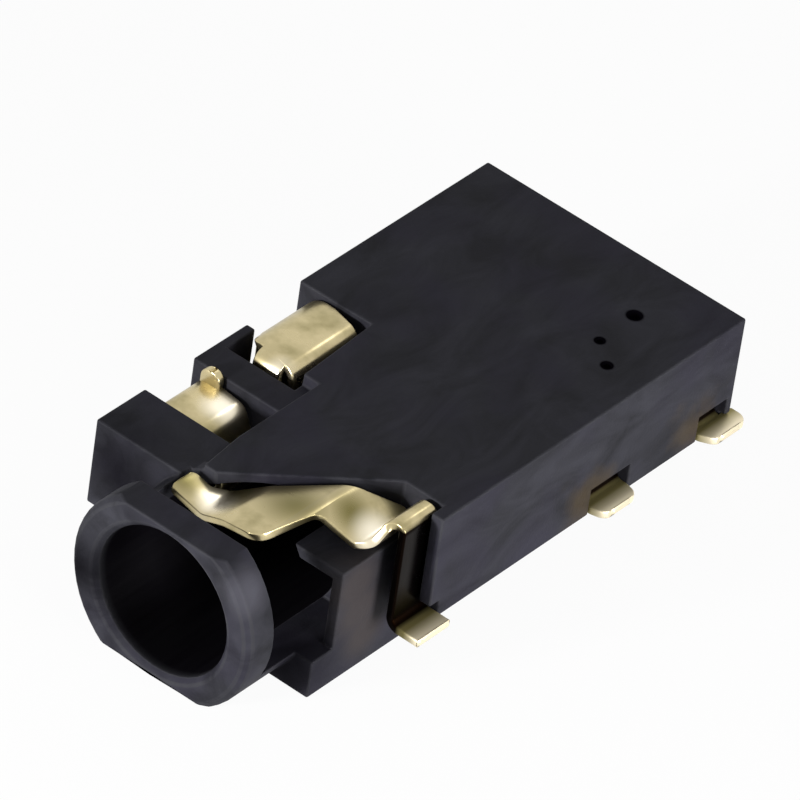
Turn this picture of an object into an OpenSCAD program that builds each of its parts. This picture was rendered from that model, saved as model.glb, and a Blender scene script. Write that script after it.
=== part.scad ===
// Surface-mount audio jack socket for a 3.5 mm plug, sunk into a cut-out at the edge of a board.
// One moulded housing carries five stamped and bent spring contacts.
// Modules build in the board frame: x = 0 on the plug axis, y = 0 at the front of the body and
// growing to the rear, z = 0 on the board's upper face. seated() then moves each piece into the
// part's own frame, whose origin is the centre of the underside of the part's box.

/* [Plug opening] */
// Diameter of the plug bore
bore_d = 3.6; // [3.56:0.01:3.64]
// Depth of the bore from the mouth
bore_depth = 14.4; // [14.2:0.05:14.6]
// Outer diameter of the nose
nose_d = 5.1; // [5:0.05:5.2]
// How far the nose stands out in front of the body
nose_l = 1.95; // [1.9:0.05:2.1]
// Length of the full ring at the mouth
collar_l = 0.85; // [0.8:0.01:0.9]
// Chamfer round the mouth, inside and outside
mouth_chamfer = 0.15; // [0.1:0.01:0.2]
// Height of the plug axis above the board
axis_h = 0.84; // [0.82:0.01:0.88]

/* [Body] */
// Width over the flanges that rest on the board
body_w = 7.5; // [7.4:0.02:7.6]
// Length of the body behind the nose
body_l = 13.25; // [13.1:0.05:13.5]
// Height of the top above the board
top_h = 2.9; // [2.86:0.01:3]
// Height of the lower shelf at the front left
shelf_h = 2.6; // [2.56:0.01:2.66]
// Height of the ledge that runs under the sleeve contact
post_h = 1.95; // [1.88:0.01:1.98]
// Depth of the core below the board's upper face
sink_h = 1.15; // [1.12:0.01:1.25]
// Width of the core that fills the board's cut-out
core_w = 5.66; // [5.6:0.02:5.74]
// Front of the right flange
flange_y = 2.75; // [2.7:0.01:2.8]
// Length of the open corner at the front right
corner_l = 0.7; // [0.6:0.05:0.8]

/* [Contacts] */
// Thickness of the contact strip
strip_t = 0.2; // [0.16:0.01:0.2]
// How far the solder feet stand out past the flanges
foot_reach = 0.4; // [0.35:0.01:0.45]
// How far each spring stands into the bore
spring_reach = 0.25; // [0.2:0.01:0.3]
// Clearance between a contact and its pocket
pocket_gap = 0.03; // [0.02:0.01:0.04]

/* [Places along the body] */
// Length of the cheek in front of the first left pocket
cheek_l = 1.6; // [1.55:0.01:1.65]
// Length of the pocket of the ring two contact
ring_two_l = 1.6; // [1.55:0.01:1.65]
// Length of the block between the left pockets
block_l = 1.8; // [1.75:0.01:1.85]
// Length of the pocket of the ring one contact
ring_one_l = 1.73; // [1.7:0.01:1.78]
// Middle of the tip contact
tip_y = 8.95; // [8.9:0.05:9.1]
// Length of the pocket of the tip contact
tip_l = 1.36; // [1.3:0.02:1.4]
// Width of the switch contact's foot
switch_l = 1; // [0.9:0.02:1.04]
// Thickness of the rear wall
rear_wall = 0.18; // [0.16:0.01:0.2]
// How far the rear foot passes the rear wall
foot_over = 0.2; // [0.1:0.01:0.3]

/* [Hidden] */
$fn = 96;

plastic = "#2b2a30";
gold = "#c9b77c";

// Cuts run this far past the faces that they open
past = 5;
// The land at the mouth runs this far into the tapered bore behind it
lap = 0.05;
bore_r = bore_d / 2;
nose_r = nose_d / 2;
// The core pin of the mould tapers, so the bore narrows a little towards its end
bore_draft = 0.02;
half_w = body_w / 2;
half_core = core_w / 2;
foot_x = half_w + foot_reach;
collar_y = collar_l - nose_l;
neck_wall = 0.35;
neck_r = bore_r + neck_wall;
// Top of the sill that stays below the open front corner
sill_h = -0.15;
// Underside of the cheek, clear of the board
cheek_lift = 0.3;

// Legs of the side contacts stand just inside the skin of the flanges
flange_skin = 0.25;
leg_x = half_w - flange_skin - pocket_gap - strip_t / 2;
pocket_x = leg_x + strip_t / 2 + pocket_gap;
// Inner edge of the pockets beside the bore
pocket_in = 1.1;
pocket_floor = axis_h - 0.54;
// Pockets on the right are closed above by the top
roof_t = 0.65;
roof_h = top_h - roof_t;
// Outer edge of the room in which the right springs move
arm_room_x = leg_x - 0.3;
// Middle of a solder foot's strip, and the height of the slot through which it leaves the flange
foot_h = strip_t / 2;
foot_slot_h = 0.7;
// Where the springs touch the plug
knuckle_x = bore_r - spring_reach;
// Bend radii along the middle of the strip
leg_bend = 0.25;
arm_bend = 0.3;
bend_steps = 6;
// Radius left at the sheared corners of a strip
shear_r = 0.1;
// Clearance between the free edge of a contact and the top beside it
edge_gap = 0.12;

ring_two_y = cheek_l;
block_y = ring_two_y + ring_two_l;
ring_one_y = block_y + block_l;
main_y = ring_one_y + ring_one_l;
// The ring one spring lies partly behind a thin wall of the block
lip_l = 0.95;
lip_y = ring_one_y - lip_l;
// Edge of the deck beside the ring one spring, at its rear and front ends
deck_edge = [[0.1 - bore_r, main_y + 0.05], [0.25 - bore_r, lip_y + 0.25]];
// The deck's edge overhangs the room of the ring one spring
overhang_t = 0.5;
switch_end = body_l - rear_wall;
switch_y = switch_end - switch_l;
// The flat of the rear foot passes under the rear wall from here outwards
rear_tab_x = leg_x + leg_bend;
// The switch spring lies in front of its leg
switch_arm_l = 1;
switch_arm_y = switch_y - switch_arm_l;
rear_y = body_l + foot_over;

// The sleeve contact stands in a slot in the front of the right flange
sleeve_skin = 0.33;
sleeve_x = half_w - sleeve_skin - pocket_gap - strip_t / 2;
sleeve_w = 1.1;
sleeve_back = flange_y + 0.3;
sleeve_front = sleeve_back - sleeve_w;
sleeve_slot_in = sleeve_x - strip_t / 2 - pocket_gap;
sleeve_slot_out = sleeve_x + strip_t / 2 + pocket_gap;
// The flange is cut away above the sleeve contact's foot
sleeve_foot_h = strip_t + 0.25;
notch_y = sleeve_back + edge_gap;
// The tongue of the top is a wedge that ends behind the free end of the sleeve contact
tongue_l = 0.3;
tongue_left = [-0.95, tongue_l];
// From here the top and the sleeve contact run side by side along a slanted line
slant_from = [-0.6, tongue_l];
slant_to = [sleeve_x - 0.96, notch_y];
// Free end of the sleeve contact, and the edge of the opening in which it moves
sleeve_end_x = tongue_left.x - 0.2;
window_x = sleeve_end_x - 0.15;
// The open front corner runs on under the ledge, behind a thin side wall
corner_room_l = 1.2;
corner_wall = 0.3;
ledge_t = 0.3;
// Small pits that moulding left in the top: place, radius at the surface
pits = [[2.01, 11.43, 0.17], [2.72, 9.59, 0.11], [2.06, 10.15, 0.09]];
pit_depth = 0.12;

function unit(v) = v / norm(v);
function turned(v, a) = [v.x * cos(a) - v.y * sin(a), v.x * sin(a) + v.y * cos(a)];
function swing(a, b) = atan2(a.x * b.y - a.y * b.x, a * b);
function flat(p) = [p.x, p.y];

// Points of the arc that rounds corner b between a and c. A corner is [x, y, radius].
function corner_arc(a, b, c) =
    let(
        back = unit(flat(a) - flat(b)),
        ahead = unit(flat(c) - flat(b)),
        half = acos(back * ahead) / 2,
        reach = b[2] / tan(half),
        centre = flat(b) + unit(back + ahead) * b[2] / sin(half),
        first = flat(b) + back * reach - centre,
        last = flat(b) + ahead * reach - centre,
        sweep = swing(first, last)
    )
    [for (k = [0 : bend_steps]) centre + turned(first, sweep * k / bend_steps)];

// An open path whose inner corners are rounded
function bent_path(p) = concat(
    [flat(p[0])],
    [for (i = [1 : len(p) - 2]) each corner_arc(p[i - 1], p[i], p[i + 1])],
    [flat(p[len(p) - 1])]
);

// A closed outline whose corners are all rounded
function rounded_outline(p) =
    let(n = len(p))
    [for (i = [0 : n - 1]) each corner_arc(p[(i + n - 1) % n], p[i], p[(i + 1) % n])];

// Sideways direction of a path at point i, longer at a turn so that the strip keeps its thickness
function side_step(p, i) =
    let(
        n = len(p),
        before = i > 0 ? unit(p[i] - p[i - 1]) : unit(p[1] - p[0]),
        after = i < n - 1 ? unit(p[i + 1] - p[i]) : before,
        along = unit(before + after)
    )
    [-along.y, along.x] / (along * before);

function strip_outline(p, t) = concat(
    [for (i = [0 : len(p) - 1]) p[i] + side_step(p, i) * t / 2],
    [for (i = [len(p) - 1 : -1 : 0]) p[i] - side_step(p, i) * t / 2]
);

// From the board frame to the part's own frame
module seated() {
    translate([0, (nose_l - rear_y) / 2, sink_h]) children();
}

// A box given by its two opposite corners
module box(from, to) {
    translate(from) cube(to - from);
}

// A round bar along the plug axis, from y0 to y1
module bar(y0, y1, r0, r1) {
    translate([0, y0, axis_h]) rotate([-90, 0, 0]) cylinder(h = y1 - y0, r1 = r0, r2 = r1);
}

// Sheet strip bent along a path in the x-z plane, trimmed to an outline seen from above
module formed_strip(path, outline) {
    intersection() {
        rotate([90, 0, 0])
            linear_extrude(height = 4 * body_l, center = true)
                polygon(strip_outline(bent_path(path), strip_t));
        translate([0, 0, -past]) linear_extrude(height = 3 * past) polygon(rounded_outline(outline));
    }
}

// Path of a side spring: foot, leg, shoulder over the pocket, drop into the bore, knuckle and tail
function side_path(shoulder, drop, knuckle_h) =
    let(tail = [0.4, -0.65])
    [
        [foot_x, foot_h],
        [leg_x, foot_h, leg_bend],
        shoulder,
        drop,
        [knuckle_x, knuckle_h, arm_bend],
        [knuckle_x + tail.x, knuckle_h + tail.y]
    ];

module nose_blank() {
    intersection() {
        union() {
            bar(-nose_l, mouth_chamfer - nose_l, nose_r - mouth_chamfer, nose_r);
            bar(mouth_chamfer - nose_l, collar_y, nose_r, nose_r);
            bar(mouth_chamfer - nose_l, corner_l, neck_r, neck_r);
            intersection() {
                bar(mouth_chamfer - nose_l, corner_l, nose_r, nose_r);
                box([-past, -past, -past], [past, past, sill_h]);
            }
        }
        box([-past, -past, -sink_h], [past, past, top_h]);
    }
}

// Raised top: the main deck and the tongue that reaches forward between the contacts
module top_deck() {
    linear_extrude(height = top_h) polygon([
        [-half_w, main_y],
        [-pocket_x, main_y],
        deck_edge[0],
        deck_edge[1],
        [-pocket_in, deck_edge[1].y],
        [-pocket_in, ring_two_y],
        tongue_left,
        slant_from,
        slant_to,
        [sleeve_slot_out, notch_y],
        [sleeve_slot_out, flange_y],
        [half_w, flange_y],
        [half_w, body_l],
        [-half_w, body_l]
    ]);
}

module body_blank() {
    box([-half_core, 0, -sink_h], [half_core, body_l, shelf_h]);
    box([-half_w, 0, 0], [0, body_l, shelf_h]);
    box([0, flange_y, 0], [half_w, body_l, shelf_h]);
    top_deck();
}

module plug_bore() {
    bar(-nose_l - past, collar_y + lap, bore_r, bore_r);
    bar(-nose_l - mouth_chamfer, mouth_chamfer - nose_l, bore_r + 2 * mouth_chamfer, bore_r);
    bar(collar_y, bore_depth - nose_l, bore_r, bore_r - bore_draft);
}

// Open space over the sleeve contact, down to the ledge and into the top of the bore
module sleeve_recess() {
    translate([0, 0, post_h]) linear_extrude(height = past) polygon([
        [window_x, collar_y],
        [past, collar_y],
        [past, flange_y],
        [sleeve_slot_out, flange_y],
        [sleeve_slot_out, notch_y],
        slant_to,
        slant_from,
        [window_x, tongue_l]
    ]);
}

// Open corner at the front right, above the sill, where the bore shows from the side
module open_corner() {
    box([0, collar_y, sill_h], [past, corner_l, past]);
    box([0, collar_y, sill_h], [half_core - corner_wall, corner_l + corner_room_l, post_h - ledge_t]);
}

// The ring one spring reaches forward behind a thin wall of the block
module lip_pocket() {
    box([-pocket_x, lip_y, pocket_floor], [-pocket_in, main_y, top_h - overhang_t]);
    translate([0, 0, pocket_floor]) linear_extrude(height = past) polygon([
        [-pocket_x, lip_y],
        [deck_edge[1].x, lip_y],
        deck_edge[1],
        deck_edge[0],
        [-pocket_x, main_y]
    ]);
}

// Pits in the top, each a shallow cone
module moulding_pits() {
    for (p = pits) {
        translate([p.x, p.y, top_h - pit_depth]) cylinder(h = 2 * pit_depth, r1 = 0, r2 = 2 * p[2]);
    }
}

// Pocket on the right, open to the underside so that the contact goes in from below
module right_pocket(y0, y1, arm_y0, arm_y1) {
    box([pocket_in, y0, -past], [pocket_x, y1, roof_h]);
    box([pocket_in, arm_y0, -past], [arm_room_x, arm_y1, roof_h]);
    box([leg_x, y0, -past], [past, y1, foot_slot_h]);
}

module housing() {
    color(plastic) seated() difference() {
        union() {
            nose_blank();
            body_blank();
        }
        plug_bore();
        sleeve_recess();
        open_corner();
        box([sleeve_slot_in, 0, -past], [sleeve_slot_out, sleeve_back + pocket_gap, past]);
        box([sleeve_x, 0, -past], [past, sleeve_back + pocket_gap, sleeve_foot_h]);
        box([-past, -past, -past], [-half_core, cheek_l, cheek_lift]);
        box([-past, ring_two_y, -past], [-half_core, block_y, past]);
        box([-past, ring_two_y, pocket_floor], [-pocket_in, block_y, past]);
        box([-past, ring_one_y, -past], [-half_core, main_y, past]);
        lip_pocket();
        right_pocket(tip_y - tip_l / 2, tip_y + tip_l / 2, tip_y - tip_l / 2, tip_y + tip_l / 2);
        right_pocket(switch_y, switch_end, switch_arm_y, switch_end);
        box([rear_tab_x - pocket_gap, switch_y, -past], [past, rear_y, strip_t + pocket_gap]);
        moulding_pits();
    }
}

module sleeve_contact() {
    // Bends from the shoulder over the leg to the free end in the bore
    shoulder_h = top_h - 0.12;
    shoulder_l = 0.3;
    shoulder_bend = 0.13;
    valley = [sleeve_x - 0.55, post_h + 0.17, 0.25];
    crest = [bore_r - 0.15, top_h - 0.14, 0.5];
    ramp = [sleeve_end_x + 1.55, top_h - 0.3, 0.6];
    knuckle = [sleeve_end_x + 0.95, axis_h + bore_r - spring_reach, 0.4];
    // Corners of the front edge
    leg_corner = [sleeve_x - 0.2, sleeve_front, 0.2];
    valley_corner = [sleeve_x - 0.75, sleeve_front - 0.65, 0.2];
    arch_corner = [bore_r - 0.1, corner_l + 0.3, 0.3];
    finger_corner = [bore_r - 0.4, collar_y + 0.5, 0.4];
    // Rear edge and corner radius of the free end
    end_back = tongue_l - edge_gap;
    end_r = (end_back - finger_corner.y) / 4;
    slant_r = 0.2;
    color(gold) seated() formed_strip(
        [
            [foot_x, foot_h],
            [sleeve_x, foot_h, leg_bend],
            [sleeve_x, shoulder_h, shoulder_bend],
            [sleeve_x - shoulder_l, shoulder_h, shoulder_bend],
            valley,
            crest,
            ramp,
            knuckle,
            [sleeve_end_x, axis_h + bore_r]
        ],
        [
            [foot_x + past, sleeve_front, shear_r],
            leg_corner,
            valley_corner,
            arch_corner,
            finger_corner,
            [sleeve_end_x, finger_corner.y, end_r],
            [sleeve_end_x, end_back, end_r],
            [slant_from.x, end_back, slant_r],
            [slant_to.x + edge_gap, sleeve_back, slant_r],
            [foot_x + past, sleeve_back, shear_r]
        ]
    );
}

module ring_two_contact() {
    front = ring_two_y + pocket_gap;
    back = block_y - pocket_gap;
    shoulder = [leg_x, shelf_h - 0.3, leg_bend];
    drop = [bore_r + 0.35, shoulder.y - 0.05, arm_bend];
    // The spring narrows towards the bore
    arm_front = front + 0.25;
    arm_back = back - 0.17;
    arm_r = 0.2;
    // A small round ear stands up at the rear edge and holds the contact against the block
    ear_in = half_core - 0.03;
    ear_out = half_core + 0.52;
    ear_h = top_h - 0.15;
    ear_r = 0.25;
    root_r = 0.02;
    color(gold) seated() mirror([1, 0, 0]) {
        formed_strip(
            side_path(shoulder, drop, knuckle_h = axis_h + 0.2),
            [
                [foot_x + past, front, shear_r],
                [arm_room_x, front, shear_r],
                [pocket_in, arm_front, arm_r],
                [pocket_in, arm_back, arm_r],
                [arm_room_x, back, shear_r],
                [foot_x + past, back, shear_r]
            ]
        );
        translate([0, back, 0]) rotate([90, 0, 0]) linear_extrude(height = strip_t) polygon(rounded_outline([
            [ear_in, shoulder.y, root_r],
            [ear_out, shoulder.y, root_r],
            [ear_out, ear_h, ear_r],
            [ear_in, ear_h, ear_r]
        ]));
    }
}

module ring_one_contact() {
    front = ring_one_y + pocket_gap;
    back = main_y - pocket_gap;
    neck_x = leg_x - 0.2;
    plate_h = top_h - 0.2;
    plate_bend = 0.5;
    inner_x = strip_t / 2 + edge_gap - deck_edge[0].x;
    // The plate is stepped back beside the leg and narrows towards the bore
    step = 0.05;
    throat_y = front - 0.48;
    arm_front = lip_y + 0.1;
    arm_back = back - 0.4;
    shoulder_x = neck_x - 0.5;
    front_r = 0.15;
    arm_r = 0.4;
    shoulder_r = 0.3;
    // The flat of the plate ends in a flange that is bent down behind the block's wall
    flange_in = inner_x + 0.2;
    flange_out = leg_x - plate_bend;
    flange_l = 0.5;
    flange_y0 = lip_y + strip_t / 2 + 0.1;
    color(gold) seated() mirror([1, 0, 0]) {
        formed_strip(
            side_path([leg_x, plate_h, plate_bend], [inner_x, plate_h, leg_bend], knuckle_h = axis_h + 0.3),
            [
                [foot_x + past, front, shear_r],
                [neck_x + step, front, step],
                [neck_x, throat_y, front_r],
                [pocket_in, arm_front, front_r],
                [pocket_in, arm_back, arm_r],
                [shoulder_x, back, shoulder_r],
                [foot_x + past, back, shear_r]
            ]
        );
        translate([flange_in, 0, 0]) rotate([90, 0, 90]) linear_extrude(height = flange_out - flange_in)
            polygon(strip_outline(
                bent_path([[front, plate_h], [flange_y0, plate_h, leg_bend], [flange_y0, plate_h - flange_l]]),
                strip_t
            ));
    }
}

// The two right contacts share one bent path under the roof
function right_path() =
    side_path([leg_x, roof_h - 0.2, leg_bend], [bore_r + 0.5, roof_h - 0.4, arm_bend], knuckle_h = axis_h + 0.1);

module tip_contact() {
    front = tip_y - tip_l / 2 + pocket_gap;
    back = tip_y + tip_l / 2 - pocket_gap;
    arm_inset = 0.2;
    foot_inset = 0.1;
    foot_r = 0.3;
    arm_r = 0.2;
    color(gold) seated() formed_strip(
        right_path(),
        [
            [foot_x, front + foot_inset, foot_r],
            [half_w, front, foot_r],
            [arm_room_x, front, shear_r],
            [pocket_in, front + arm_inset, arm_r],
            [pocket_in, back - arm_inset, arm_r],
            [arm_room_x, back, shear_r],
            [half_w, back, foot_r],
            [foot_x, back - foot_inset, foot_r]
        ]
    );
}

module switch_contact() {
    front = switch_y + pocket_gap;
    back = switch_end - pocket_gap;
    foot_front = front + 0.2;
    foot_r = 0.3;
    tab_r = 0.05;
    arm_r = 0.2;
    color(gold) seated() formed_strip(
        right_path(),
        [
            [foot_x, foot_front, foot_r],
            [half_w, front, arm_r],
            [arm_room_x, front, shear_r],
            [pocket_in, switch_arm_y + 0.1, arm_r],
            [pocket_in, switch_y, arm_r],
            [arm_room_x, back, shear_r],
            [rear_tab_x, back, tab_r],
            [rear_tab_x, rear_y, tab_r],
            [foot_x, rear_y, foot_r]
        ]
    );
}

housing();
sleeve_contact();
ring_two_contact();
ring_one_contact();
tip_contact();
switch_contact();
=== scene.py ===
"""Looks of a sunk surface-mount audio jack socket: moulded housing, formed spring contacts, studio."""
import math

import bmesh
import bpy
from mathutils import Matrix, Vector


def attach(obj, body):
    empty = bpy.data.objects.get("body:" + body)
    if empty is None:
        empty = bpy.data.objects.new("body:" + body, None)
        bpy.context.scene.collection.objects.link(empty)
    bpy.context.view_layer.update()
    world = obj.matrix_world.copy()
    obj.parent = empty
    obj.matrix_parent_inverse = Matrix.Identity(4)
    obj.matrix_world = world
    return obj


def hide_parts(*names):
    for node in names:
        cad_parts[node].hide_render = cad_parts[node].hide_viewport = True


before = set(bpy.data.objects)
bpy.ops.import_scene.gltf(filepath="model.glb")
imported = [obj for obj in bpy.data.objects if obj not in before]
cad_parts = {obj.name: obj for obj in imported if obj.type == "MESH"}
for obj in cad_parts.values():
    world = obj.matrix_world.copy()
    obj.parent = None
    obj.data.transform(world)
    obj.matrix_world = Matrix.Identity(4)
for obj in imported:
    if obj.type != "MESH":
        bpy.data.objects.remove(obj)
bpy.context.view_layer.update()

# Sizes below are in millimetres, in the part's own frame: x across, y to the rear, z up.
MM = 0.001
RIGHT = Vector((1, 0, 0))
REAR = Vector((0, 1, 0))
# Centre and reach of the three moulding pits in the top
PITS = [((2.01, 5.68, 4.05), 0.26), ((2.72, 3.84, 4.05), 0.2), ((2.06, 4.4, 4.05), 0.18)]
# A Mix node's sockets share their names, so they go by number: its share, two values, two colours
SHARE, FROM_VALUE, TO_VALUE, FROM, TO = 0, 2, 3, 6, 7
# How a Mix node is set to colours, and which output it then gives
COLOURS = {"out": 2, "data_type": "RGBA"}


def linear(hex_colour):
    """Turn an sRGB hex colour into the linear RGBA that Blender's sockets take."""
    channels = [int(hex_colour[i:i + 2], 16) / 255 for i in (1, 3, 5)]
    return [c / 12.92 if c <= 0.04045 else ((c + 0.055) / 1.055) ** 2.4 for c in channels] + [1]


def per_mm(size):
    """Scale of a noise pattern, in object metres, whose features are this many millimetres apart."""
    return 1 / (size * MM)


def add(tree, kind, sockets, out=0, **settings):
    """Add a node, set its options, fill its sockets with values or links, and give one of its outputs."""
    made = tree.nodes.new("ShaderNode" + kind)
    for name, value in settings.items():
        setattr(made, name, value)
    for name, value in sockets.items():
        if isinstance(value, bpy.types.NodeSocket):
            tree.links.new(value, made.inputs[name])
        else:
            made.inputs[name].default_value = value
    return made.outputs[out] if made.outputs else None


def empty_material(name):
    """A material whose node tree holds nothing yet."""
    material = bpy.data.materials.new(name)
    material.use_nodes = True
    material.node_tree.nodes.clear()
    return material


# Materials


def marks(tree, place, spots, strength):
    """Soft marks at spots of the part, given as (centre, reach).

    Each rises from 0 at its reach to the strength at its centre, but never past 1.
    """
    total = 0
    for centre, reach in spots:
        middle = Vector(centre) * MM
        apart = add(tree, "VectorMath", {0: place, 1: middle}, out="Value", operation="DISTANCE")
        one = add(tree, "MapRange", {
            "Value": apart, "From Min": reach * MM, "From Max": 0, "To Max": strength,
        }, interpolation_type="SMOOTHSTEP")
        total = add(tree, "Math", {0: total, 1: one}, operation="MAXIMUM", use_clamp=True)
    return total


def moulded_plastic():
    """Glass-filled black liquid-crystal polymer, moulded against a spark-eroded tool.

    The eye sees a dull charcoal with a slight violet cast, cloudy flow marks a millimetre or so
    long and a fine matt grain. Paler edges are partly rubbing wear and partly a painted edge
    highlight. The colour also holds a painted highlight streak on the collar, painted shade in
    three pits of the top and on the sill, the cheek and the left of the nose, a brown tint on the
    wall beside the right feet, and painted pale light on the post's side before the front leg.
    """
    beside_feet = [((3.75, 2.35, 1.75), 1.2), ((3.75, 6.15, 1.75), 1.2)]
    before_leg = [((2.83, -4.5, 2.5), 1.1), ((2.83, -4.3, 1.7), 1.1), ((2.83, -4.0, 0.9), 1.0)]
    collar_highlight_place = [((2.05, -7.35, 3.5), 0.85)]
    # Places that get painted shade: the sill, the cheek front and the left of the nose ring
    shaded_places = [((2.1, -5.6, 0.6), 1.6), ((-2.9, -5.75, 2.8), 1.8), ((-2.3, -7.7, 1.7), 1.5)]
    noise_middle = (0.5, 0.5, 0.5)
    tint_sway = 2
    material = empty_material("moulded_black_lcp")
    tree = material.node_tree
    place = add(tree, "TexCoord", {}, out="Object")
    drawn_out = add(tree, "Mapping", {"Vector": place, "Scale": (1, 0.45, 1)})
    flow = add(tree, "TexNoise", {
        "Vector": drawn_out, "Scale": per_mm(1.1), "Detail": 5, "Roughness": 0.6, "Distortion": 0.8,
    })
    cast = add(tree, "TexNoise", {"Vector": place, "Scale": per_mm(2.2), "Detail": 3})
    wander = add(tree, "TexNoise", {"Vector": place, "Scale": per_mm(0.8), "Detail": 4}, out="Color")
    # Spark erosion leaves a grain of about 0.03 mm, drawn coarser here so that it shows
    grain = add(tree, "TexNoise", {"Vector": place, "Scale": per_mm(0.07), "Detail": 3})
    cloud = add(tree, "MapRange", {"Value": flow, "From Min": 0.35, "From Max": 0.7})
    charcoal = add(tree, "Mix", {SHARE: cloud, FROM: linear("#18181C"), TO: linear("#2F2F35")}, **COLOURS)
    violet = add(tree, "MapRange", {"Value": cast, "From Min": 0.45, "From Max": 0.65, "To Max": 0.35})
    tinted = add(tree, "Mix", {SHARE: violet, FROM: charcoal, TO: linear("#262331")}, **COLOURS)
    # Paler edges: partly rubbing wear and partly a painted edge highlight
    edge = add(tree, "Attribute", {}, out="Fac", attribute_name="rubbed_and_highlit_edge")
    paler_part = add(tree, "Math", {0: edge, 1: cloud}, operation="MULTIPLY")
    edged = add(tree, "Mix", {SHARE: paler_part, FROM: tinted, TO: linear("#303034")}, **COLOURS)
    sway = add(tree, "VectorMath", {0: wander, 1: noise_middle}, operation="SUBTRACT")
    ragged = add(tree, "VectorMath", {
        0: sway, 1: (tint_sway * MM,) * 3, 2: place,
    }, operation="MULTIPLY_ADD")
    # A brown tint on the wall beside the right feet, its edge made wavy
    brown_tint = marks(tree, ragged, beside_feet, strength=0.5)
    browned = add(tree, "Mix", {SHARE: brown_tint, FROM: edged, TO: linear("#463A25")}, **COLOURS)
    # Painted light: a paler, warm patch on the post's side before the front leg
    painted_post_light = marks(tree, place, before_leg, strength=1.3)
    post_lit = add(tree, "Mix", {SHARE: painted_post_light, FROM: browned, TO: linear("#332F30")}, **COLOURS)
    # Painted highlight: a pale streak on the collar's right side
    painted_collar_highlight = marks(tree, place, collar_highlight_place, strength=0.45)
    collar_highlighted = add(tree, "Mix", {SHARE: painted_collar_highlight, FROM: post_lit, TO: linear("#5A5962")}, **COLOURS)
    # Painted shade on the sill, the cheek front and the left of the nose ring
    painted_shade = marks(tree, place, shaded_places, strength=0.75)
    # Painted shade: the three pits of the top turn near-black
    pit_shade = marks(tree, place, PITS, strength=5.0)
    painted_dark = add(tree, "Math", {0: painted_shade, 1: pit_shade}, operation="MAXIMUM")
    # Where painted shade lies, the colour goes near-black and the specular goes away
    shade_painted = add(tree, "Mix", {SHARE: painted_dark, FROM: collar_highlighted, TO: linear("#050407")}, **COLOURS)
    gloss = add(tree, "MapRange", {"Value": painted_dark, "To Min": 0.08, "To Max": 0})
    matt = add(tree, "MapRange", {"Value": flow, "To Min": 0.5, "To Max": 0.75})
    relief = add(tree, "Bump", {"Height": grain, "Strength": 0.35, "Distance": 0.012 * MM})
    shader = add(tree, "BsdfPrincipled", {
        "Base Color": shade_painted, "Roughness": matt, "Specular IOR Level": gloss, "Normal": relief,
    })
    add(tree, "OutputMaterial", {"Surface": shader})
    return material


def bore_plastic():
    """The same polymer in the bore, moulded against a core pin that was drawn out along it.

    Its colour is painted shade: near-black walls with faint drag lines along the bore, and the
    grey of the outside only at the mouth, from which the painted shade deepens inward.
    """
    shade_full_from, shade_gone_at = -7.35, -7.6
    material = empty_material("bore_painted_shade")
    tree = material.node_tree
    place = add(tree, "TexCoord", {}, out="Object")
    along = add(tree, "Mapping", {"Vector": place, "Scale": (1, 0.05, 1)})
    # Drag lines lie some 0.03 mm apart, and are drawn coarser here so that they show
    drag = add(tree, "TexNoise", {"Vector": along, "Scale": per_mm(0.15), "Detail": 3})
    # Painted shade: near-black walls inside the bore
    black = add(tree, "Mix", {SHARE: drag, FROM: linear("#020103"), TO: linear("#0B0A0D")}, **COLOURS)
    inward = add(tree, "SeparateXYZ", {"Vector": place}, out="Y")
    # Only the mouth keeps the grey of the outside; deeper in, the painted shade is full
    paler_part = add(tree, "MapRange", {
        "Value": inward, "From Min": shade_full_from * MM, "From Max": shade_gone_at * MM,
    })
    colour = add(tree, "Mix", {SHARE: paler_part, FROM: black, TO: linear("#222225")}, **COLOURS)
    matt = add(tree, "MapRange", {"Value": drag, "To Min": 0.45, "To Max": 0.65})
    relief = add(tree, "Bump", {"Height": drag, "Strength": 0.3, "Distance": 0.01 * MM})
    shader = add(tree, "BsdfPrincipled", {
        "Base Color": colour, "Roughness": matt, "Specular IOR Level": 0.03, "Normal": relief,
    })
    add(tree, "OutputMaterial", {"Surface": shader})
    return material


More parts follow.
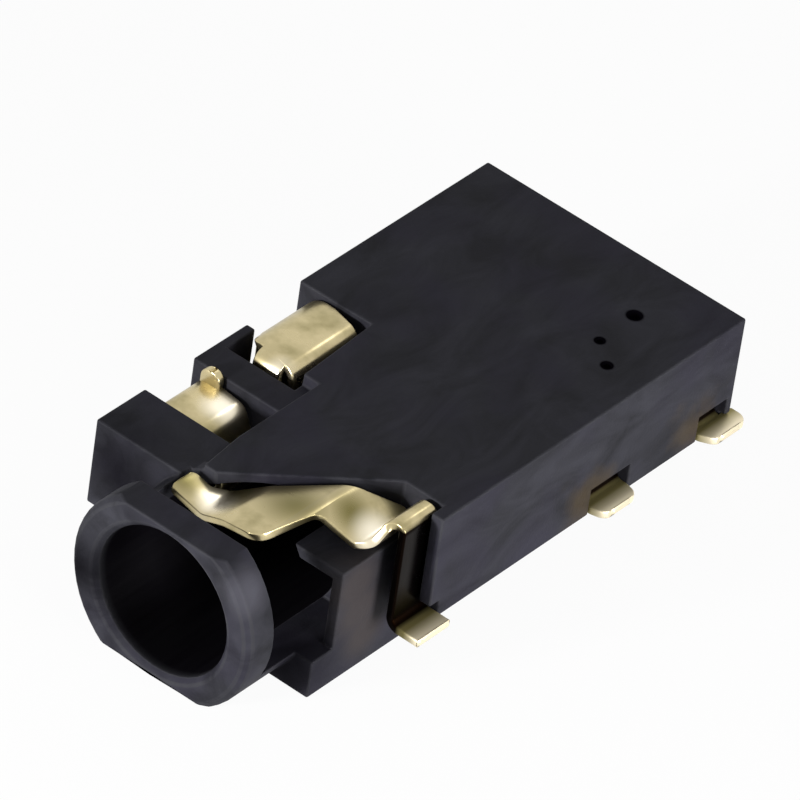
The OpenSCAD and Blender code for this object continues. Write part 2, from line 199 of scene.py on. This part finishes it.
def plated_strip():
    """Rolled phosphor bronze, flash-plated with gold after forming.

    The eye sees a pale cream gold with soft reflections, drawn lines along the strip and greenish
    clouds where the plating is thin. The colour also holds olive painted dark reflections on three
    bends, near-white painted highlights on four bends, dull tinned feet that turn olive with painted
    shade towards the wall, and near-black painted shade on the right-hand legs below the shoulder.
    """
    # Olive painted dark reflections on the sleeve's slope and ramp and on the finger's tip
    dark_reflection_spots = [((2.0, -4.0, 3.7), 0.9), ((1.2, -4.9, 3.8), 1.2), ((-1.05, -5.95, 3.75), 0.8)]
    # Near-white painted highlights on the sleeve's knuckle and valley and on bends of the two left
    # contacts
    highlight_spots = [
        ((-0.2, -5.85, 3.55), 0.65), ((2.6, -3.85, 3.3), 0.8),
        ((-2.4, -3.1, 3.4), 0.7), ((-2.2, -1.4, 3.6), 0.5),
    ]
    # Each pair is where a finish begins and where it is full: heights, then places across
    foot_begins, foot_full = 1.6, 1.35
    shoulder_begins, shoulder_full = 3.98, 3.88
    end_begins, end_full = 3.72, 4.05
    leg_begins, leg_full = 3.08, 3.2
    heel_begins, heel_full = 3.62, 3.5
    tin_roughness = 0.6
    material = empty_material("gold_plated_bronze")
    tree = material.node_tree
    place = add(tree, "TexCoord", {}, out="Object")
    clouds = add(tree, "TexNoise", {"Vector": place, "Scale": per_mm(0.8), "Detail": 4, "Roughness": 0.55})
    along = add(tree, "Mapping", {"Vector": place, "Scale": (0.12, 1, 0.12)})
    # Rolling leaves lines about 0.01 mm apart, drawn coarser here so that they show
    lines = add(tree, "TexNoise", {"Vector": along, "Scale": per_mm(0.05), "Detail": 2})
    cloudy = add(tree, "MapRange", {"Value": clouds, "From Min": 0.4, "From Max": 0.68, "To Max": 0.6})
    # Painted dark reflections join the random thin-plating clouds
    painted_dark_reflection = marks(tree, place, dark_reflection_spots, strength=1.0)
    thin_and_dark = add(tree, "Math", {0: cloudy, 1: painted_dark_reflection}, operation="MAXIMUM")
    clouded_and_darkened = add(tree, "Mix", {SHARE: thin_and_dark, FROM: linear("#C6B88F"), TO: linear("#766E42")}, **COLOURS)
    # Painted highlights
    painted_highlight = marks(tree, place, highlight_spots, strength=1.2)
    plated = add(tree, "Mix", {SHARE: painted_highlight, FROM: clouded_and_darkened, TO: linear("#FFF6E0")}, **COLOURS)
    height = add(tree, "SeparateXYZ", {"Vector": place}, out="Z")
    sideways = add(tree, "SeparateXYZ", {"Vector": place}, out="X")
    at_foot = add(tree, "MapRange", {
        "Value": height, "From Min": foot_begins * MM, "From Max": foot_full * MM,
    })
    outward = add(tree, "Math", {0: sideways}, operation="ABSOLUTE")
    at_end = add(tree, "MapRange", {
        "Value": outward, "From Min": end_begins * MM, "From Max": end_full * MM,
    })
    # Painted shade on the feet: olive near the wall, tin cream at the ends
    tin_shaded_at_wall = add(tree, "Mix", {SHARE: at_end, FROM: linear("#847B50"), TO: linear("#DDD3B9")}, **COLOURS)
    tinned = add(tree, "Mix", {SHARE: at_foot, FROM: plated, TO: tin_shaded_at_wall}, **COLOURS)
    outside = add(tree, "MapRange", {
        "Value": sideways, "From Min": leg_begins * MM, "From Max": leg_full * MM,
    })
    before_foot = add(tree, "MapRange", {
        "Value": sideways, "From Min": heel_begins * MM, "From Max": heel_full * MM,
    })
    under_shoulder = add(tree, "MapRange", {
        "Value": height, "From Min": shoulder_begins * MM, "From Max": shoulder_full * MM,
    })
    between = add(tree, "Math", {0: before_foot, 1: under_shoulder}, operation="MULTIPLY")
    # Painted shade: the right-hand legs go near-black between the wall and the shoulder
    painted_leg_shade = add(tree, "Math", {0: outside, 1: between}, operation="MULTIPLY")
    colour = add(tree, "Mix", {SHARE: painted_leg_shade, FROM: tinned, TO: linear("#0C0502")}, **COLOURS)
    satin = add(tree, "MapRange", {"Value": clouds, "To Min": 0.2, "To Max": 0.4})
    dull = add(tree, "Mix", {SHARE: at_foot, FROM_VALUE: satin, TO_VALUE: tin_roughness})
    relief = add(tree, "Bump", {"Height": lines, "Strength": 0.25, "Distance": 0.004 * MM})
    shader = add(tree, "BsdfPrincipled", {
        "Base Color": colour, "Metallic": 1.0, "Roughness": dull, "Normal": relief,
    })
    add(tree, "OutputMaterial", {"Surface": shader})
    return material


# Housing


def in_pit(edge):
    """Whether an edge of the housing, in millimetres, belongs to a pit of the top."""
    middle = (edge.verts[0].co + edge.verts[1].co) / 2
    return any((middle - Vector(centre)).length < reach for centre, reach in PITS)


def rounded_housing(skin, bore_skin):
    """The moulded housing with the small radii that a mould leaves on its edges, but sharp pits."""
    edge_radius = 0.05
    plug_axis_height = 1.99
    bore_reach = 1.83
    flat_limit = math.radians(0.5)
    corner_limit = math.radians(42)
    weld = 0.0005
    shape = bmesh.new()
    shape.from_mesh(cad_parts["housing"].data)
    bmesh.ops.scale(shape, vec=Vector((1, 1, 1)) / MM, verts=shape.verts)
    bmesh.ops.remove_doubles(shape, verts=shape.verts, dist=weld)
    bmesh.ops.dissolve_limit(shape, angle_limit=flat_limit, verts=shape.verts, edges=shape.edges)
    paler_part = shape.faces.layers.float.new("rubbed_and_highlit_edge")
    corners = [e for e in shape.edges if e.calc_face_angle(0) > corner_limit and not in_pit(e)]
    rounded = bmesh.ops.bevel(
        shape, geom=corners, offset=edge_radius, offset_type="OFFSET", segments=3, profile=0.5,
        affect="EDGES", clamp_overlap=False, miter_outer="SHARP",
    )
    # Rounded edges get the paler colour, partly wear and partly a painted edge highlight
    for face in rounded["faces"]:
        face[paler_part] = 1
    # No radius may reach below the flat underside
    for corner in shape.verts:
        corner.co.z = max(corner.co.z, 0)
    for face in shape.faces:
        # Faces inside the bore take its painted shade
        if max(math.hypot(v.co.x, v.co.z - plug_axis_height) for v in face.verts) < bore_reach:
            face.material_index = 1
    finished_piece("housing_moulding", shape, [skin, bore_skin], "housing")


def finished_piece(name, shape, materials, node):
    """Turn a bmesh in millimetres into a smooth-shaded piece that stands for a CAD node."""
    sharp_limit = math.radians(34)
    bmesh.ops.scale(shape, vec=Vector((MM, MM, MM)), verts=shape.verts)
    bmesh.ops.recalc_face_normals(shape, faces=shape.faces)
    mesh = bpy.data.meshes.new(name)
    shape.to_mesh(mesh)
    shape.free()
    if mesh.has_custom_normals:
        # Normals that came with the loaded solid would keep the sharp edges from being set
        mesh.attributes.remove(mesh.attributes["custom_normal"])
    mesh.shade_smooth()
    mesh.set_sharp_from_angle(angle=sharp_limit)
    for material in materials:
        mesh.materials.append(material)
    piece = bpy.data.objects.new(name, mesh)
    bpy.context.scene.collection.objects.link(piece)
    evened = piece.modifiers.new("even_shading", "WEIGHTED_NORMAL")
    evened.keep_sharp = True
    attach(piece, "root")
    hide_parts(node)


# Contacts
# Each contact is a strip bent along a path of (x, z, bend radius) and sheared to an outline of
# (x, y, corner radius) seen from above. Both are measured from the board: y = 0 at the front of
# the body, z = 0 on the board's upper face.

BOARD = Vector((0, -5.75, 1.15))
STRIP = 0.2
SHEAR_RADIUS = 0.045
# Sections along a strip and along a flange are no further apart than this
STRIP_SPACING = 0.03
FLANGE_SPACING = 0.08
# A flange is thinner by this on each face, so that it hides inside the plate that it grows from
TUCK = 0.003
# End of a foot and height of its middle, middle of a leg, and a place past the end of any foot
FOOT_END = 4.15
FOOT_HEIGHT = STRIP / 2
FOOT = (FOOT_END, FOOT_HEIGHT)
LEG = 3.37
PAST = 9
# Bend at a foot's heel, where a side spring's arm begins to taper, and a place past its inner end
HEEL_BEND = 0.25
TAPER = 3.07
INNER = 1.1


def arc_corner(before, corner, after, steps):
    """Points of the arc that rounds a corner between its two neighbours."""
    here = Vector(corner[:2])
    back = (Vector(before[:2]) - here).normalized()
    ahead = (Vector(after[:2]) - here).normalized()
    half = back.angle(ahead) / 2
    centre = here + (back + ahead).normalized() * corner[2] / math.sin(half)
    first = here + back * corner[2] / math.tan(half) - centre
    last = here + ahead * corner[2] / math.tan(half) - centre
    opening = first.angle_signed(last)
    return [centre + Matrix.Rotation(-opening * k / steps, 2) @ first for k in range(steps + 1)]


def bent_line(corners, steps=10):
    """An open line whose inner corners are rounded."""
    line = [Vector(corners[0][:2])]
    for before, corner, after in zip(corners, corners[1:], corners[2:]):
        line += arc_corner(before, corner, after, steps)
    return line + [Vector(corners[-1][:2])]


def rounded_loop(corners, steps=8):
    """A closed outline whose corners are all rounded."""
    loop = []
    for i, corner in enumerate(corners):
        loop += arc_corner(corners[i - 1], corner, corners[(i + 1) % len(corners)], steps)
    return loop


def evenly_cut(line, spacing):
    """The same line with more points, none further apart than the spacing and no two at one place."""
    same_place = 1e-4
    points = [line[0]]
    for a, b in zip(line, line[1:]):
        pieces = max(1, math.ceil((b - a).length / spacing))
        points += [a.lerp(b, k / pieces) for k in range(1, pieces + 1)]
    return [p for i, p in enumerate(points) if i == 0 or (p - points[i - 1]).length > same_place]


def width_at(loop, x):
    """Lowest and highest y of an outline at one x, or None outside it."""
    hits = []
    for a, b in zip(loop, loop[1:] + loop[:1]):
        if (a.x - x) * (b.x - x) <= 0 and a.x != b.x:
            hits.append(a.lerp(b, (x - a.x) / (b.x - a.x)).y)
    return (min(hits), max(hits)) if hits else None


def section(half_width, half_thick, radius):
    """A rectangle with rounded corners, as (across, through) pairs in order."""
    steps = 3
    round_share = 0.9
    r = min(radius, half_width * round_share, half_thick * round_share)
    points = []
    for quarter, (u, v) in enumerate([(1, 1), (-1, 1), (-1, -1), (1, -1)]):
        for k in range(steps + 1):
            turn = math.radians(90) * (quarter + k / steps)
            across = u * (half_width - r) + r * math.cos(turn)
            through = v * (half_thick - r) + r * math.sin(turn)
            points.append((across, through))
    return points


def sweep(shape, stations, radius):
    """Skin rounded sections along stations of (centre, across, through, half width, half thickness)."""
    most_narrowing = 9
    first, last = stations[0], stations[-1]
    inset = [(c, a, t, max(w - radius, w / most_narrowing), h - radius) for c, a, t, w, h in (first, last)]
    into = [(stations[1][0] - first[0]).normalized(), (stations[-2][0] - last[0]).normalized()]
    start = [inset[0], (first[0] + into[0] * radius, *first[1:])]
    close = [(last[0] + into[1] * radius, *last[1:]), inset[1]]
    rings = []
    for centre, across, through, half_width, half_thick in start + stations[1:-1] + close:
        ring = section(half_width, half_thick, radius)
        rings.append([shape.verts.new(centre + across * u + through * v) for u, v in ring])
    for a, b in zip(rings, rings[1:]):
        for i in range(len(a)):
            shape.faces.new((a[i - 1], a[i], b[i], b[i - 1]))
    shape.faces.new(rings[0])
    shape.faces.new(rings[-1])


def heading(line, i):
    """Direction of a line at one of its points."""
    return (line[min(i + 1, len(line) - 1)] - line[max(i - 1, 0)]).normalized()


def strip_stations(path, outline):
    """Stations along a bent strip, each as wide as the outline is there."""
    line = evenly_cut(bent_line(path), STRIP_SPACING)
    loop = rounded_loop(outline)
    stations = []
    for i, point in enumerate(line):
        span = width_at(loop, point.x)
        if span is None:
            continue
        along = heading(line, i)
        through = Vector((-along.y, 0, along.x))
        centre = Vector((point.x, sum(span) / 2, point.y))
        stations.append((centre, REAR, through, (span[1] - span[0]) / 2, STRIP / 2))
    return stations


def contact(name, path, outline, material, mirrored=False, tab=None):
    """One formed contact, on the right as written or mirrored to the left. A tab is a second sweep."""
    shape = bmesh.new()
    sweep(shape, strip_stations(path, outline), SHEAR_RADIUS)
    if tab:
        sweep(shape, tab, SHEAR_RADIUS)
    if mirrored:
        bmesh.ops.scale(shape, vec=Vector((-1, 1, 1)), verts=shape.verts)
    bmesh.ops.translate(shape, vec=BOARD, verts=shape.verts)
    finished_piece(name + "_strip", shape, [material], name)


def standing_ear(x0, x1, y, z0, z1, radius):
    """Stations of a small tab that stands up, with a round top."""
    steps = 12
    middle, half = (x0 + x1) / 2, (x1 - x0) / 2
    stations = []
    for k in range(steps + 1):
        z = z0 + (z1 - z0) * math.sin(math.radians(90) * k / steps)
        over = max(0, z - (z1 - radius)) / radius
        half_width = half - radius * (1 - math.sqrt(max(0, 1 - over * over)))
        stations.append((Vector((middle, y, z)), RIGHT, REAR, half_width, STRIP / 2))
    return stations


def bent_flange(x0, x1, path):
    """Stations of a flange of even width, bent along a path of (y, z, bend radius)."""
    line = evenly_cut(bent_line(path), FLANGE_SPACING)
    stations = []
    for i, point in enumerate(line):
        along = heading(line, i)
        centre = Vector(((x0 + x1) / 2, point.x, point.y))
        through = Vector((0, -along.y, along.x))
        stations.append((centre, RIGHT, through, (x1 - x0) / 2, STRIP / 2 - TUCK))
    return stations


def side_spring(shoulder, drop, knuckle_height):
    """Path of a side contact: foot, leg, shoulder, drop into the bore, knuckle and tail."""
    knuckle = 1.55
    knuckle_bend = 0.3
    tail_run, tail_fall = 0.4, 0.65
    return [
        FOOT, (LEG, FOOT_HEIGHT, HEEL_BEND), shoulder, drop,
        (knuckle, knuckle_height, knuckle_bend), (knuckle + tail_run, knuckle_height - tail_fall),
    ]


def all_contacts(material):
    """The five contacts, from the front to the rear."""
    sleeve_leg, sleeve_top = 3.29, 2.78
    finger_end = -1.15
    plate_top = 2.7
    low_spring = side_spring((LEG, 2.05, 0.25), (2.3, 1.85, 0.3), 0.94)
    contact(
        "sleeve_contact",
        path=[
            FOOT, (sleeve_leg, FOOT_HEIGHT, HEEL_BEND), (sleeve_leg, sleeve_top, 0.13),
            (2.99, sleeve_top, 0.13), (2.74, 2.12, 0.25), (1.65, 2.76, 0.5), (0.4, 2.6, 0.6),
            (-0.2, 2.39, 0.4), (finger_end, 2.64),
        ],
        outline=[
            (PAST, 1.95, 0.1), (3.09, 1.95, 0.2), (2.54, 1.3, 0.2), (1.7, 1.0, 0.3), (1.4, -0.6, 0.4),
            (finger_end, -0.6, 0.195), (finger_end, 0.18, 0.195), (-0.6, 0.18, 0.2), (2.45, 3.05, 0.2),
            (PAST, 3.05, 0.1),
        ],
        material=material,
    )
    contact(
        "ring_two_contact",
        path=side_spring((LEG, 2.3, 0.25), (2.15, 2.25, 0.3), 1.04),
        outline=[
            (PAST, 1.63, 0.1), (TAPER, 1.63, 0.1), (INNER, 1.88, 0.2), (INNER, 3.0, 0.2),
            (TAPER, 3.17, 0.1), (PAST, 3.17, 0.1),
        ],
        material=material,
        mirrored=True,
        tab=standing_ear(x0=2.8, x1=3.35, y=3.07, z0=2.3, z1=2.75, radius=0.25),
    )
    contact(
        "ring_one_contact",
        path=side_spring((LEG, plate_top, 0.5), (1.92, plate_top, 0.25), 1.14),
        outline=[
            (PAST, 5.03, 0.1), (3.22, 5.03, 0.05), (3.17, 4.55, 0.15), (INNER, 4.15, 0.15),
            (INNER, 6.3, 0.4), (2.67, 6.7, 0.3), (PAST, 6.7, 0.1),
        ],
        material=material,
        mirrored=True,
        tab=bent_flange(x0=2.12, x1=2.87, path=[(5.03, plate_top), (4.25, plate_top, 0.25), (4.25, 2.2)]),
    )
    contact(
        "tip_contact",
        path=low_spring,
        outline=[
            (FOOT_END, 8.4, 0.3), (3.75, 8.3, 0.3), (TAPER, 8.3, 0.1), (INNER, 8.5, 0.2),
            (INNER, 9.4, 0.2), (TAPER, 9.6, 0.1), (3.75, 9.6, 0.3), (FOOT_END, 9.5, 0.3),
        ],
        material=material,
    )
    contact(
        "switch_contact",
        path=low_spring,
        outline=[
            (FOOT_END, 12.3, 0.3), (3.75, 12.1, 0.2), (TAPER, 12.1, 0.1), (INNER, 11.17, 0.2),
            (INNER, 12.07, 0.2), (TAPER, 13.04, 0.1), (3.62, 13.04, 0.05), (3.62, 13.45, 0.05),
            (FOOT_END, 13.45, 0.3),
        ],
        material=material,
    )


rounded_housing(moulded_plastic(), bore_plastic())
all_contacts(plated_strip())

# Studio


def direction(azimuth, elevation):
    """Direction from the part to an angle in degrees. Azimuth 0 is in front of the plug opening."""
    turn, rise = math.radians(azimuth), math.radians(elevation)
    return Vector((math.sin(turn) * math.cos(rise), -math.cos(turn) * math.cos(rise), math.sin(rise)))


def white_where_seen(tree):
    """1 for what the camera, a reflection or a clear body sees, and 0 for light that falls on the part."""
    camera = add(tree, "LightPath", {}, out="Is Camera Ray")
    mirrored = add(tree, "LightPath", {}, out="Is Glossy Ray")
    through = add(tree, "LightPath", {}, out="Is Transmission Ray")
    direct = add(tree, "Math", {0: camera, 1: mirrored}, operation="MAXIMUM")
    return add(tree, "Math", {0: direct, 1: through}, operation="MAXIMUM")


def studio_floor():
    """A pale floor that shows almost white, keeps the part's shadow and can't be seen from below."""
    half = 1500 * MM
    white_share = 0.95
    material = empty_material("pale_floor")
    tree = material.node_tree
    share = add(tree, "MapRange", {"Value": white_where_seen(tree), "To Max": white_share})
    paper = add(tree, "BsdfDiffuse", {"Color": linear("#E6E6E6")})
    glow = add(tree, "Emission", {"Color": linear("#FFFFFF")})
    lit = add(tree, "MixShader", {0: share, 1: paper, 2: glow})
    clear = add(tree, "BsdfTransparent", {})
    under = add(tree, "NewGeometry", {}, out="Backfacing")
    sided = add(tree, "MixShader", {0: under, 1: lit, 2: clear})
    add(tree, "OutputMaterial", {"Surface": sided})
    corners = [(-half, -half, 0), (half, -half, 0), (half, half, 0), (-half, half, 0)]
    mesh = bpy.data.meshes.new("floor")
    mesh.from_pydata(corners, [], [(0, 1, 2, 3)])
    mesh.materials.append(material)
    floor = bpy.data.objects.new("floor", mesh)
    bpy.context.scene.collection.objects.link(floor)


def studio_world():
    """Soft even light, with white for whatever is seen of it."""
    world = bpy.data.worlds.new("studio")
    world.use_nodes = True
    tree = world.node_tree
    tree.nodes.clear()
    level = add(tree, "MapRange", {"Value": white_where_seen(tree), "To Min": 0.25, "To Max": 1.0})
    sky = add(tree, "Background", {"Color": linear("#FFFFFF"), "Strength": level})
    add(tree, "OutputWorld", {"Surface": sky})
    bpy.context.scene.world = world


def soft_box(name, azimuth, elevation, distance, width, power):
    """A square area lamp aimed at the part."""
    lamp = bpy.data.lights.new(name, "AREA")
    lamp.size = width * MM
    lamp.energy = power
    holder = bpy.data.objects.new(name, lamp)
    away = direction(azimuth, elevation)
    holder.location = away * distance * MM
    holder.rotation_mode = "QUATERNION"
    holder.rotation_quaternion = away.to_track_quat("Z", "Y")
    bpy.context.scene.collection.objects.link(holder)


def photo_camera():
    """A long lens at the photograph's place, angle and slight roll."""
    azimuth, elevation, roll = 34.852, 38.394, 8.648
    target = Vector((-1.026, 1.576, 2.0))
    distance = 224.794
    lens = bpy.data.cameras.new("camera")
    lens.lens = 458.59
    lens.sensor_width = 36
    lens.clip_start = 10 * MM
    lens.clip_end = 10000 * MM
    back = direction(azimuth, elevation)
    level = Matrix.Rotation(math.radians(azimuth), 3, "Z") @ RIGHT
    right = Matrix.Rotation(math.radians(roll), 3, back) @ level
    axes = Matrix((right, back.cross(right), back)).transposed()
    camera = bpy.data.objects.new("camera", lens)
    camera.matrix_world = Matrix.Translation((target + back * distance) * MM) @ axes.to_4x4()
    bpy.context.scene.collection.objects.link(camera)
    bpy.context.scene.camera = camera


bpy.context.scene.view_settings.view_transform = "Standard"
studio_floor()
studio_world()
soft_box("right_box", azimuth=84, elevation=8, distance=60, width=26, power=0.062)
soft_box("front_box", azimuth=-16, elevation=12, distance=60, width=8, power=0.05)
soft_box("rear_box", azimuth=196, elevation=47, distance=100, width=14, power=0.0045)
photo_camera()
